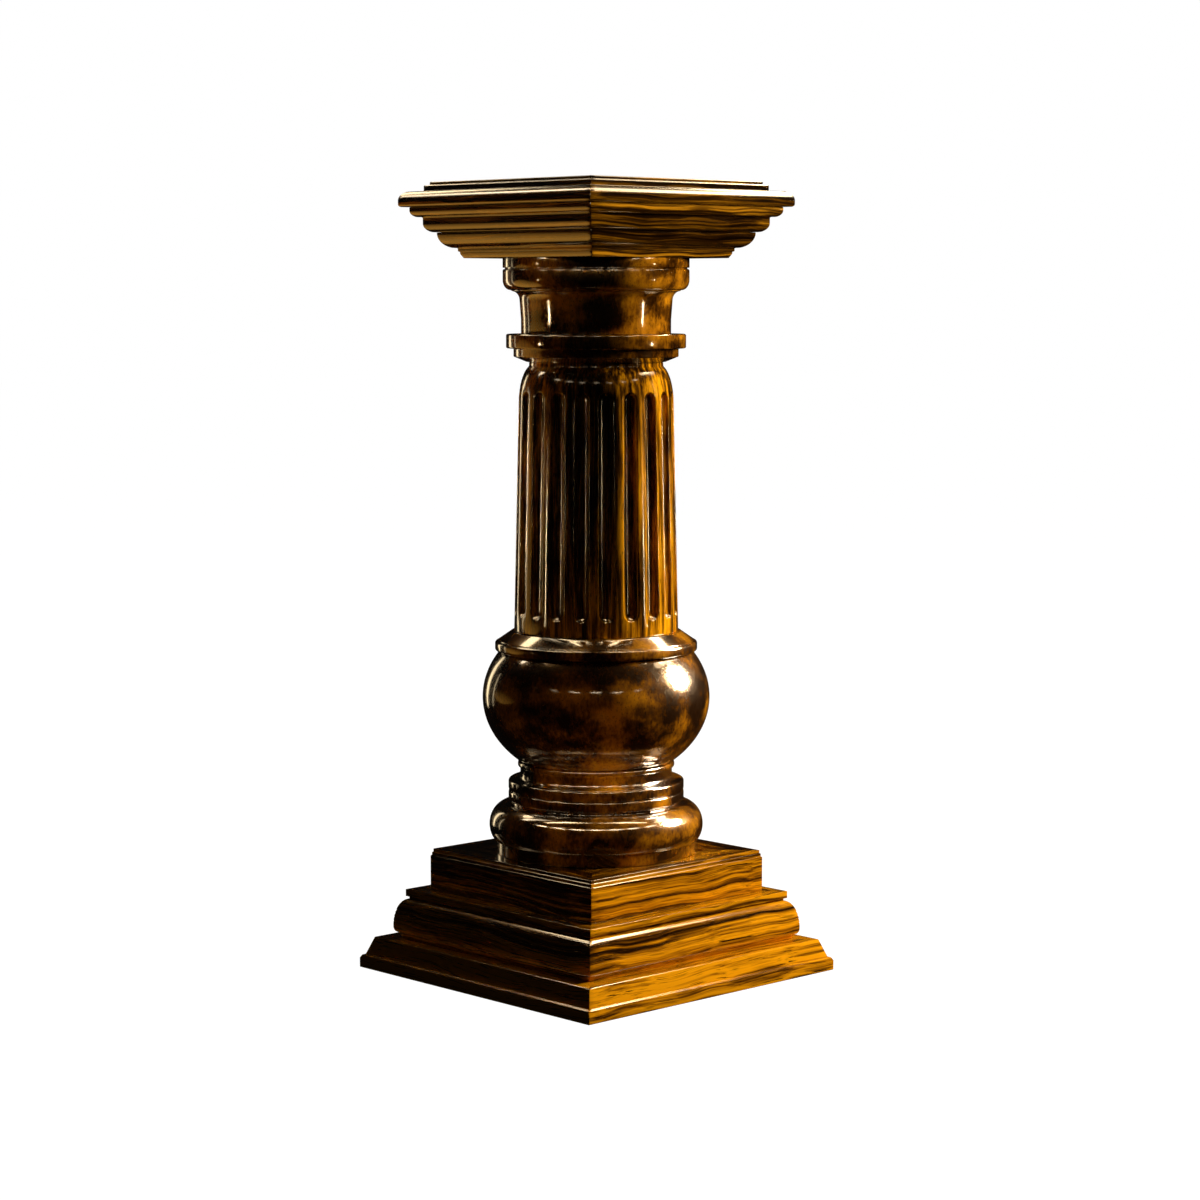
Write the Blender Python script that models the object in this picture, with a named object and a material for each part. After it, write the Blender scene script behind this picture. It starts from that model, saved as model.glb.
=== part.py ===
"""A fluted wooden display pedestal: moulded square top, fluted column on a turned bulb, three-tier plinth.

Metres, +Z up. The origin is in the middle of the underside, and the square tiers' sides run along X and Y.
Each piece stands on the one below it. A piece's outline is a list of (half width, height) points that starts
at its upper edge and runs down its outer side, and the moulding functions add to it as a plane would.
"""

from math import atan, cos, pi, radians, sin, sqrt

import bmesh
import bpy

JOINT_GAP = 0.0003
TURN_STEPS = 36
ARC_STEPS = 4
EDGE_STEPS = 2

# Bottom board of the plinth, which stands out from the middle board
BASE_PROJECTION = 0.0283
BASE_EDGE_HEIGHT = 0.0112
BASE_ARRIS_WIDTH = 0.0022
BASE_ARRIS_HEIGHT = 0.0039
BASE_LEDGE = 0.0030
BASE_STEP_HEIGHT = 0.0012
BASE_BEVEL_WIDTH = 0.0075
BASE_BEVEL_HEIGHT = 0.0200

# Middle board of the plinth, which stands out from the block
MIDDLE_PROJECTION = 0.0312
MIDDLE_FILLET_HEIGHT = 0.0083
MIDDLE_QUIRK_DEPTH = 0.0030
MIDDLE_QUIRK_HEIGHT = 0.0030
MIDDLE_ROUND_WIDTH = 0.0135
MIDDLE_ROUND_HEIGHT = 0.0300
MIDDLE_FACE_HEIGHT = 0.0028
MIDDLE_UNDERCUT_WIDTH = 0.0040
MIDDLE_UNDERCUT_HEIGHT = 0.0070
MIDDLE_FOOT_WIDTH = 0.0030
MIDDLE_FOOT_HEIGHT = 0.0054

# Block of the plinth, which carries the turned foot with a margin round it
BLOCK_MARGIN = 0.0198
BLOCK_FACE_HEIGHT = 0.0401
BLOCK_REED_WIDTH = 0.0012
BLOCK_REED_HEIGHT = 0.0040

# Turned foot, whose waist is as wide as the underside of the bulb
SMALL_RING_PROJECTION = 0.0028
SMALL_RING_FACE_HEIGHT = 0.0022
SMALL_RING_ROUND = 0.0020
WAIST_HEIGHT = 0.0085
WAIST_COVE = 0.0060
RING_PROJECTION = 0.0138
RING_FACE_HEIGHT = 0.0075
RING_ROUND = 0.0025
QUIRK_DEPTH = 0.0040
QUIRK_HEIGHT = 0.0030
TORUS_PROJECTION = 0.0223
TORUS_BULGE = 0.0203
TORUS_HALF_HEIGHT = 0.0250
TORUS_LOWER_TURN = 43
DRUM_INSET = 0.0069
DRUM_HEIGHT = 0.0142

# Bulb, a slice of a flattened ball between two heights given as turns from its middle, in degrees
BULB_RADIUS = 0.1318
BULB_POLE_HEIGHT = 0.1010
BULB_UPPER_TURN = 31.4
BULB_LOWER_TURN = 48.0
BULB_STEPS = 12

# Collar over the bulb
COLLAR_SEAT_MARGIN = 0.0030
COLLAR_SLOPE_WIDTH = 0.0151
COLLAR_SLOPE_HEIGHT = 0.0105
COLLAR_STEP = 0.0010
COLLAR_RIM_FACE_HEIGHT = 0.0055
COLLAR_RIM_ROUND = 0.0030
COLLAR_FOOT_HEIGHT = 0.0010

# Fluted shaft
SHAFT_RADIUS = 0.0950
SHAFT_TOP_RADIUS = 0.0893
SHAFT_TAPER_HEIGHT = 0.2608
SHOULDER_WIDTH = 0.0173
SHOULDER_HEIGHT = 0.0440
SHOULDER_TURN = 73
SHAFT_NECK_HEIGHT = 0.0047
FLUTE_COUNT = 20
FLUTE_FILLET_WIDTH = 0.0110
FLUTE_DEPTH = 0.0070
FLUTE_FROM_FOOT = 0.0180
FLUTE_PAST_TAPER = 0.0160
CUTTER_STEPS = 12
CUTTER_END_STEPS = 3

# Neck ring of two bands
NECK_BAND_PROJECTION = 0.0172
NECK_BAND_FACE_HEIGHT = 0.0125
NECK_BAND_ROUND = 0.0020
LOWER_BAND_INSET = 0.0085
LOWER_BAND_FACE_HEIGHT = 0.0085
LOWER_BAND_ROUND = 0.0015
NECK_SLOPE_HEIGHT = 0.0054
NECK_SEAT_MARGIN = 0.0030

# Capital
CAPITAL_RADIUS = 0.1070
CAPITAL_DRUM_HEIGHT = 0.0105
CAPITAL_QUIRK_DEPTH = 0.0025
CAPITAL_QUIRK_HEIGHT = 0.0016
BEAD_UPPER_ROUND = 0.0020
BEAD_FACE_HEIGHT = 0.0105
BEAD_LOWER_WIDTH = 0.0090
BEAD_LOWER_HEIGHT = 0.0115
BEAD_FILLET = 0.0011
COVE_HEIGHT = 0.0105
BELL_RADIUS = 0.0861
BELL_FLARE = 0.0016
BELL_FLARE_HEIGHT = 0.0220
BELL_FOOT_HEIGHT = 0.0159

# Square top of three boards, each of which stands out from the one below it
TOP_SEAT_MARGIN = 0.0005
TOP_BEVEL_WIDTH = 0.0030
TOP_BEVEL_HEIGHT = 0.0050
LOWER_FILLET_HEIGHT = 0.0026
FILLET_PROJECTION = 0.0018
FILLET_HEIGHT = 0.0040
OVOLO_WIDTH = 0.0153
OVOLO_HEIGHT = 0.0176
BED_SHELF = 0.0013
BED_LOWER_ROUND = 0.0100
BED_LOWER_FACE_HEIGHT = 0.0072
BED_STEP = 0.0033
BED_UPPER_ROUND = 0.0075
BED_UPPER_FACE_HEIGHT = 0.0037
NOSING_PROJECTION = 0.0093
NOSING_UNDER_ROUND = 0.0030
NOSING_FACE_HEIGHT = 0.0041
NOSING_ROUND = 0.0105
NOSING_SHELF = 0.0106
LOWER_STEP_HEIGHT = 0.0069
STEP_INSET = 0.0049
STEP_HEIGHT = 0.0041

# Colour and roughness of the varnished wood of each group of pieces
PLINTH_WOOD = (0.34, 0.14, 0.025), 0.32
TURNED_WOOD = (0.075, 0.032, 0.009), 0.22
TOP_WOOD = (0.14, 0.068, 0.018), 0.28


def line(outline, width, height):
    """A straight stretch that goes out by width, or in where it is negative, and down by height."""
    half, level = outline[-1]
    outline.append((half + width, level - height))


def level_quarter(outline, width, height, steps=ARC_STEPS):
    """A quarter of an ellipse that leaves level and arrives plumb: round going out, hollow going in."""
    half, level = outline[-1]
    for step in range(1, steps + 1):
        turn = pi / 2 * step / steps
        outline.append((half + width * sin(turn), level - height * (1 - cos(turn))))


def plumb_quarter(outline, width, height, steps=ARC_STEPS, last_turn=90):
    """A quarter of an ellipse that leaves plumb and arrives level, or its first last_turn degrees."""
    half, level = outline[-1]
    for step in range(1, steps + 1):
        turn = radians(last_turn) * step / steps
        outline.append((half + width * (1 - cos(turn)), level - height * sin(turn)))


def rounded_band(outline, radius, face_height, edge):
    """A ring that stands out to radius, with a plumb face between two rounded edges."""
    line(outline, radius - edge - outline[-1][0], 0)
    level_quarter(outline, edge, edge, EDGE_STEPS)
    line(outline, 0, face_height)
    plumb_quarter(outline, -edge, edge, EDGE_STEPS)


def spun_mesh(name, outline, steps):
    """The closed solid that the outline makes when turned about the Z axis, its underside at height 0."""
    bm = bmesh.new()
    underside = outline[-1][1]
    points = [(0, outline[0][1]), *outline, (0, underside)]
    verts = [bm.verts.new((half, 0, level - underside)) for half, level in points]
    edges = [bm.edges.new(pair) for pair in zip(verts, verts[1:])]
    bmesh.ops.spin(bm, geom=verts + edges, axis=(0, 0, 1), angle=2 * pi, steps=steps)
    bmesh.ops.remove_doubles(bm, verts=bm.verts, dist=1e-6)
    bmesh.ops.recalc_face_normals(bm, faces=bm.faces)
    mesh = bpy.data.meshes.new(name)
    bm.to_mesh(mesh)
    bm.free()
    return mesh


def wood_material(name, finish):
    colour, roughness = finish
    material = bpy.data.materials.new(name)
    material.use_nodes = True
    shader = material.node_tree.nodes["Principled BSDF"]
    shader.inputs["Base Color"].default_value = (*colour, 1)
    shader.inputs["Roughness"].default_value = roughness
    shader.inputs["Metallic"].default_value = 0
    return material


def placed_object(name, mesh, finish, underside):
    mesh.materials.append(wood_material(name, finish))
    piece = bpy.data.objects.new(name, mesh)
    piece.location.z = underside
    bpy.context.scene.collection.objects.link(piece)
    return piece


def height_of(outline):
    return outline[0][1] - outline[-1][1]


def turned_piece(name, outline, underside, steps=TURN_STEPS):
    """A round piece on the column's axis, and the height at which the next piece stands."""
    mesh = spun_mesh(name, outline, steps)
    mesh.shade_smooth()
    mesh.set_sharp_from_angle(angle=radians(35))
    piece = placed_object(name, mesh, TURNED_WOOD, underside)
    return piece, underside + height_of(outline) + JOINT_GAP


def square_board(name, outline, finish, underside):
    """A square board, its outline taken round in four steps. It returns the next piece's height."""
    corners = [(half * sqrt(2), level) for half, level in outline]
    board = placed_object(name, spun_mesh(name, corners, 4), finish, underside)
    board.rotation_euler.z = pi / 4
    return underside + height_of(outline) + JOINT_GAP


def base_board_outline():
    foot_half = middle_board_half() + BASE_PROJECTION
    outline = [(foot_half - BASE_ARRIS_WIDTH - BASE_LEDGE - BASE_BEVEL_WIDTH, 0)]
    line(outline, BASE_BEVEL_WIDTH, BASE_BEVEL_HEIGHT)
    line(outline, 0, BASE_STEP_HEIGHT)
    line(outline, BASE_LEDGE, 0)
    line(outline, BASE_ARRIS_WIDTH, BASE_ARRIS_HEIGHT)
    line(outline, 0, BASE_EDGE_HEIGHT)
    return outline


def middle_board_half():
    return block_half() + MIDDLE_PROJECTION


def middle_board_outline():
    outline = [(middle_board_half() - MIDDLE_ROUND_WIDTH + MIDDLE_QUIRK_DEPTH, 0)]
    line(outline, 0, MIDDLE_FILLET_HEIGHT)
    line(outline, -MIDDLE_QUIRK_DEPTH, 0)
    line(outline, 0, MIDDLE_QUIRK_HEIGHT)
    level_quarter(outline, MIDDLE_ROUND_WIDTH, MIDDLE_ROUND_HEIGHT)
    line(outline, 0, MIDDLE_FACE_HEIGHT)
    plumb_quarter(outline, -MIDDLE_UNDERCUT_WIDTH, MIDDLE_UNDERCUT_HEIGHT)
    line(outline, -MIDDLE_FOOT_WIDTH, MIDDLE_FOOT_HEIGHT)
    return outline


def block_half():
    return drum_radius() + BLOCK_MARGIN


def block_outline():
    outline = [(block_half() - 2 * BLOCK_REED_WIDTH, 0)]
    for _reed in range(2):
        line(outline, 0, BLOCK_REED_HEIGHT)
        line(outline, BLOCK_REED_WIDTH, 0)
    line(outline, 0, BLOCK_FACE_HEIGHT)
    return outline


def waist_radius():
    return bulb_outline()[-1][0]


def ring_radius():
    return waist_radius() + RING_PROJECTION


def drum_radius():
    return ring_radius() + TORUS_PROJECTION - DRUM_INSET


def foot_outline():
    outline = [(waist_radius(), 0)]
    rounded_band(outline, waist_radius() + SMALL_RING_PROJECTION, SMALL_RING_FACE_HEIGHT, SMALL_RING_ROUND)
    line(outline, waist_radius() - outline[-1][0], 0)
    line(outline, 0, WAIST_HEIGHT)
    plumb_quarter(outline, WAIST_COVE, WAIST_COVE)
    for _ring in range(2):
        rounded_band(outline, ring_radius(), RING_FACE_HEIGHT, RING_ROUND)
    line(outline, ring_radius() - QUIRK_DEPTH - outline[-1][0], 0)
    line(outline, 0, QUIRK_HEIGHT)
    line(outline, TORUS_PROJECTION + QUIRK_DEPTH - TORUS_BULGE, 0)
    level_quarter(outline, TORUS_BULGE, TORUS_HALF_HEIGHT)
    plumb_quarter(outline, -TORUS_BULGE, TORUS_HALF_HEIGHT, last_turn=TORUS_LOWER_TURN)
    line(outline, drum_radius() - outline[-1][0], 0)
    line(outline, 0, DRUM_HEIGHT)
    return outline


def bulb_outline():
    first, last = radians(BULB_UPPER_TURN), -radians(BULB_LOWER_TURN)
    turns = [first + (last - first) * step / BULB_STEPS for step in range(BULB_STEPS + 1)]
    return [(BULB_RADIUS * cos(turn), BULB_POLE_HEIGHT * sin(turn)) for turn in turns]


def collar_outline():
    outline = [(SHAFT_RADIUS + COLLAR_SEAT_MARGIN, 0)]
    line(outline, COLLAR_SLOPE_WIDTH, COLLAR_SLOPE_HEIGHT)
    line(outline, 0, COLLAR_STEP)
    rim_radius = outline[-1][0] + COLLAR_STEP + COLLAR_RIM_ROUND
    rounded_band(outline, rim_radius, COLLAR_RIM_FACE_HEIGHT, COLLAR_RIM_ROUND)
    line(outline, bulb_outline()[0][0] - outline[-1][0], 0)
    line(outline, 0, COLLAR_FOOT_HEIGHT)
    return outline


def shoulder_middle_radius():
    """Radius of the middle of the ellipse that the shoulder is part of."""
    return SHAFT_TOP_RADIUS - SHOULDER_WIDTH


def shaft_neck_radius():
    return shoulder_middle_radius() + SHOULDER_WIDTH * cos(radians(SHOULDER_TURN))


def shaft_outline():
    outline = [(shaft_neck_radius(), 0)]
    line(outline, 0, SHAFT_NECK_HEIGHT)
    middle_level = outline[-1][1] - SHOULDER_HEIGHT
    pole_height = SHOULDER_HEIGHT / sin(radians(SHOULDER_TURN))
    steps = ARC_STEPS + EDGE_STEPS
    for step in range(1, steps + 1):
        turn = radians(SHOULDER_TURN) * (1 - step / steps)
        radius = shoulder_middle_radius() + SHOULDER_WIDTH * cos(turn)
        outline.append((radius, middle_level + pole_height * sin(turn)))
    line(outline, SHAFT_RADIUS - SHAFT_TOP_RADIUS, SHAFT_TAPER_HEIGHT)
    return outline


def neck_ring_outline():
    band_radius = BELL_RADIUS + NECK_BAND_PROJECTION
    outline = [(BELL_RADIUS, 0)]
    rounded_band(outline, band_radius, NECK_BAND_FACE_HEIGHT, NECK_BAND_ROUND)
    line(outline, band_radius - LOWER_BAND_INSET - outline[-1][0], 0)
    line(outline, 0, LOWER_BAND_FACE_HEIGHT)
    plumb_quarter(outline, -LOWER_BAND_ROUND, LOWER_BAND_ROUND, EDGE_STEPS)
    line(outline, shaft_neck_radius() + NECK_SEAT_MARGIN - outline[-1][0], NECK_SLOPE_HEIGHT)
    return outline


def capital_outline():
    outline = [(CAPITAL_RADIUS, 0)]
    line(outline, 0, CAPITAL_DRUM_HEIGHT)
    line(outline, -CAPITAL_QUIRK_DEPTH, 0)
    line(outline, 0, CAPITAL_QUIRK_HEIGHT)
    line(outline, CAPITAL_QUIRK_DEPTH - BEAD_UPPER_ROUND, 0)
    level_quarter(outline, BEAD_UPPER_ROUND, BEAD_UPPER_ROUND, EDGE_STEPS)
    line(outline, 0, BEAD_FACE_HEIGHT)
    plumb_quarter(outline, -BEAD_LOWER_WIDTH, BEAD_LOWER_HEIGHT)
    line(outline, -BEAD_FILLET, 0)
    line(outline, 0, BEAD_FILLET)
    level_quarter(outline, BELL_RADIUS + BELL_FLARE - outline[-1][0], COVE_HEIGHT)
    line(outline, -BELL_FLARE, BELL_FLARE_HEIGHT)
    line(outline, 0, BELL_FOOT_HEIGHT)
    return outline


def ovolo_board_half():
    """Half the side of the lowest board of the top, which covers the capital."""
    return CAPITAL_RADIUS + TOP_SEAT_MARGIN + TOP_BEVEL_WIDTH + 2 * FILLET_PROJECTION + OVOLO_WIDTH


def ovolo_board_outline():
    outline = [(ovolo_board_half(), 0)]
    plumb_quarter(outline, -OVOLO_WIDTH, OVOLO_HEIGHT)
    line(outline, -FILLET_PROJECTION, 0)
    line(outline, 0, FILLET_HEIGHT)
    line(outline, -FILLET_PROJECTION, 0)
    line(outline, 0, LOWER_FILLET_HEIGHT)
    line(outline, -TOP_BEVEL_WIDTH, TOP_BEVEL_HEIGHT)
    return outline


def bed_moulding_half():
    return ovolo_board_half() + BED_SHELF + BED_LOWER_ROUND + BED_STEP + BED_UPPER_ROUND


def bed_moulding_outline():
    outline = [(bed_moulding_half(), 0)]
    line(outline, 0, BED_UPPER_FACE_HEIGHT)
    plumb_quarter(outline, -BED_UPPER_ROUND, BED_UPPER_ROUND)
    line(outline, -BED_STEP, 0)
    line(outline, 0, BED_LOWER_FACE_HEIGHT)
    plumb_quarter(outline, -BED_LOWER_ROUND, BED_LOWER_ROUND)
    return outline


def top_board_outline():
    shelf_half = bed_moulding_half() + NOSING_PROJECTION - NOSING_ROUND
    outline = [(shelf_half - NOSING_SHELF - STEP_INSET, 0)]
    line(outline, 0, STEP_HEIGHT)
    line(outline, STEP_INSET, 0)
    line(outline, 0, LOWER_STEP_HEIGHT)
    line(outline, NOSING_SHELF, 0)
    level_quarter(outline, NOSING_ROUND, NOSING_ROUND)
    line(outline, 0, NOSING_FACE_HEIGHT)
    plumb_quarter(outline, -NOSING_UNDER_ROUND, NOSING_UNDER_ROUND, EDGE_STEPS)
    return outline


def flute_cutter_mesh(radius, length):
    """A rod with round ends that stands on its lower tip."""
    outline = [(0, 0)]
    level_quarter(outline, radius, radius, CUTTER_END_STEPS)
    line(outline, 0, length - 2 * radius)
    plumb_quarter(outline, -radius, radius, CUTTER_END_STEPS)
    return spun_mesh("flute_cutter", outline, CUTTER_STEPS)


def cut_flutes(shaft):
    """Cuts round-ended flutes that lean with the taper. The first faces +X, so a fillet faces each corner."""
    lean = (SHAFT_RADIUS - SHAFT_TOP_RADIUS) / SHAFT_TAPER_HEIGHT
    surface = SHAFT_RADIUS - lean * FLUTE_FROM_FOOT
    half_angle = pi / FLUTE_COUNT - FLUTE_FILLET_WIDTH / surface / 2
    floor = surface - FLUTE_DEPTH
    cutter_axis = (surface**2 - floor**2) / (2 * (surface * cos(half_angle) - floor))
    length = SHAFT_TAPER_HEIGHT + FLUTE_PAST_TAPER - FLUTE_FROM_FOOT
    mesh = flute_cutter_mesh(cutter_axis - floor, length)
    cutters = bpy.data.collections.new("flute_cutters")
    bpy.context.scene.collection.children.link(cutters)
    for flute in range(FLUTE_COUNT):
        angle = 2 * pi * flute / FLUTE_COUNT
        cutter = bpy.data.objects.new(f"flute_cutter_{flute + 1:02d}", mesh)
        foot = shaft.location.z + FLUTE_FROM_FOOT
        cutter.location = (cutter_axis * cos(angle), cutter_axis * sin(angle), foot)
        cutter.rotation_euler = (0, -atan(lean), angle)
        cutter.hide_render = True
        cutter.display_type = "WIRE"
        cutters.objects.link(cutter)
    modifier = shaft.modifiers.new("flutes", "BOOLEAN")
    modifier.operation = "DIFFERENCE"
    modifier.operand_type = "COLLECTION"
    modifier.solver = "EXACT"
    modifier.collection = cutters


def build_pedestal():
    level = square_board("plinth_base_board", base_board_outline(), PLINTH_WOOD, 0)
    level = square_board("plinth_middle_board", middle_board_outline(), PLINTH_WOOD, level)
    level = square_board("plinth_block", block_outline(), PLINTH_WOOD, level)
    _foot, level = turned_piece("turned_foot", foot_outline(), level)
    _bulb, level = turned_piece("bulb", bulb_outline(), level)
    _collar, level = turned_piece("bulb_collar", collar_outline(), level)
    shaft, level = turned_piece("fluted_shaft", shaft_outline(), level, 2 * FLUTE_COUNT)
    cut_flutes(shaft)
    _ring, level = turned_piece("neck_ring", neck_ring_outline(), level)
    _capital, level = turned_piece("capital", capital_outline(), level)
    level = square_board("ovolo_board", ovolo_board_outline(), TOP_WOOD, level)
    level = square_board("bed_moulding", bed_moulding_outline(), TOP_WOOD, level)
    square_board("top_board", top_board_outline(), TOP_WOOD, level)


for old in list(bpy.data.objects):
    bpy.data.objects.remove(old, do_unlink=True)
build_pedestal()
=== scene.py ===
"""Looks of the fluted wooden pedestal: varnished boards and turnings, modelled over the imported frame.

Metres, +Z up. The pedestal stands on the floor at height 0 and its sides run along X and Y. Every piece but
the shaft is worked downwards from its upper face, inside the box of the node that it replaces.
"""

from math import asin, cos, pi, radians, sin, sqrt

import bpy
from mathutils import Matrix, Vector


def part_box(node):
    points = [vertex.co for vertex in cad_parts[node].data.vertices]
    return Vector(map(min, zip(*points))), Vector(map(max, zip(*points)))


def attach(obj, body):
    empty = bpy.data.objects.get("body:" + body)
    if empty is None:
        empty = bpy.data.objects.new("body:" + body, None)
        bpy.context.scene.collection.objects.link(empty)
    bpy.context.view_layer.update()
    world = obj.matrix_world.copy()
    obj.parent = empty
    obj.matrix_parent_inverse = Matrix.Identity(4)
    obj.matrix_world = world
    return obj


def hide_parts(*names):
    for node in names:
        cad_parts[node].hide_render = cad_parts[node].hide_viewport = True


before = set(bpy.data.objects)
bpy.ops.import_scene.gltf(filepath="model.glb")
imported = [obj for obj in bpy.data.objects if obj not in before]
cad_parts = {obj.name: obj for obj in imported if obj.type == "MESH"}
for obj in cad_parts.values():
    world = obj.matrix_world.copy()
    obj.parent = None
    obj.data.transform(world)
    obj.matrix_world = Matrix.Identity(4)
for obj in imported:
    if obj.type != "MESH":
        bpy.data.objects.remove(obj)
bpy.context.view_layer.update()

BODY = "root"

# How finely the pieces are worked. Edges sharper than SMOOTH_ANGLE, in degrees, are softened, and points
# nearer than SAME_PLACE are one point.
SQUARE = 4
TURNED_SIDES = 160
BOARD_CUTS = 40
CURVE_STEPS = 10
EDGE_STEPS = 4
ARRIS_WIDTH = 0.0010
ARRIS_SEGMENTS = 3
SMOOTH_ANGLE = 32
SAME_PLACE = 0.00001

# Bottom board of the plinth
BASE_EDGE_HEIGHT = 0.0112
BASE_ARRIS_WIDTH = 0.0022
BASE_ARRIS_HEIGHT = 0.0039
BASE_LEDGE = 0.0030
BASE_STEP_HEIGHT = 0.0012
BASE_BEVEL_WIDTH = 0.0075

# Middle board of the plinth
MIDDLE_FILLET_HEIGHT = 0.0083
MIDDLE_QUIRK_DEPTH = 0.0030
MIDDLE_QUIRK_HEIGHT = 0.0030
MIDDLE_ROUND_WIDTH = 0.0135
MIDDLE_ROUND_HEIGHT = 0.0300
MIDDLE_FACE_HEIGHT = 0.0028
MIDDLE_UNDERCUT_WIDTH = 0.0040
MIDDLE_UNDERCUT_HEIGHT = 0.0070
MIDDLE_FOOT_WIDTH = 0.0030
MIDDLE_REEDS = 4
REED_GROOVE_DEPTH = 0.0005
REED_GROOVE_WIDTH = 0.0012

# Block of the plinth
BLOCK_REED_WIDTH = 0.0012
BLOCK_REED_HEIGHT = 0.0040

# Turned foot, whose torus is its widest part
SMALL_RING_PROJECTION = 0.0028
SMALL_RING_FACE_HEIGHT = 0.0022
SMALL_RING_ROUND = 0.0020
WAIST_HEIGHT = 0.0085
WAIST_COVE = 0.0060
RING_PROJECTION = 0.0138
RING_INSIDE_TORUS = 0.0223
RING_FACE_HEIGHT = 0.0075
RING_ROUND = 0.0025
QUIRK_DEPTH = 0.0040
QUIRK_HEIGHT = 0.0030
TORUS_BULGE = 0.0203
TORUS_HALF_HEIGHT = 0.0250
TORUS_LOWER_TURN = 43
DRUM_INSET = 0.0069

# Bulb, whose turns from its middle are in degrees
BULB_POLE_HEIGHT = 0.1010
BULB_UPPER_TURN = 31.4
BULB_LOWER_TURN = 48.0
BULB_STEPS = 48

# Collar over the bulb
COLLAR_SLOPE_WIDTH = 0.0151
COLLAR_SLOPE_HEIGHT = 0.0105
COLLAR_STEP = 0.0010
COLLAR_RIM_FACE_HEIGHT = 0.0055
COLLAR_RIM_ROUND = 0.0030

# Fluted shaft
SHAFT_TOP_RADIUS = 0.0893
SHAFT_TAPER_HEIGHT = 0.2608
SHOULDER_WIDTH = 0.0173
SHOULDER_HEIGHT = 0.0440
SHOULDER_TURN = 73
SHOULDER_STEPS = 14
FLUTE_COUNT = 20
FLUTE_FILLET_WIDTH = 0.0110
FLUTE_DEPTH = 0.0070
FLUTE_FROM_FOOT = 0.0180
FLUTE_PAST_TAPER = 0.0160
FLUTE_END_SEGMENTS = 8
FLUTE_STEPS = 9
FLUTE_ARRIS = 0.0013

# Neck ring
NECK_BAND_FACE_HEIGHT = 0.0125
NECK_BAND_ROUND = 0.0020
LOWER_BAND_INSET = 0.0085
LOWER_BAND_FACE_HEIGHT = 0.0085
LOWER_BAND_ROUND = 0.0015
NECK_SEAT_MARGIN = 0.0030

# Capital
CAPITAL_DRUM_HEIGHT = 0.0105
CAPITAL_QUIRK_DEPTH = 0.0025
CAPITAL_QUIRK_HEIGHT = 0.0016
BEAD_UPPER_ROUND = 0.0020
BEAD_FACE_HEIGHT = 0.0105
BEAD_LOWER_WIDTH = 0.0090
BEAD_LOWER_HEIGHT = 0.0115
BEAD_FILLET = 0.0011
COVE_HEIGHT = 0.0105
BELL_RADIUS = 0.0861
BELL_FLARE = 0.0016
BELL_FLARE_HEIGHT = 0.0220

# Boards of the top
TOP_BEVEL_WIDTH = 0.0030
TOP_BEVEL_HEIGHT = 0.0050
FILLET_PROJECTION = 0.0018
FILLET_HEIGHT = 0.0040
OVOLO_WIDTH = 0.0153
OVOLO_HEIGHT = 0.0176
BED_LOWER_ROUND = 0.0100
BED_STEP = 0.0033
BED_UPPER_ROUND = 0.0075
BED_UPPER_FACE_HEIGHT = 0.0037
NOSING_UNDER_ROUND = 0.0030
NOSING_ROUND = 0.0105
NOSING_SHELF = 0.0106
LOWER_STEP_HEIGHT = 0.0069
STEP_INSET = 0.0049
STEP_HEIGHT = 0.0041

# Camera: a long lens near the height of the top, at the plinth's corner. Angles are in degrees, and the
# lens and its frame in millimetres.
CAMERA_AZIMUTH = 46.63
CAMERA_DISTANCE = 3.456
CAMERA_HEIGHT = 0.785
CAMERA_PITCH = 5.8
CAMERA_LENS = 90
CAMERA_FRAME = 36
CAMERA_PAN = -0.075
CAMERA_REACH = 60

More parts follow.
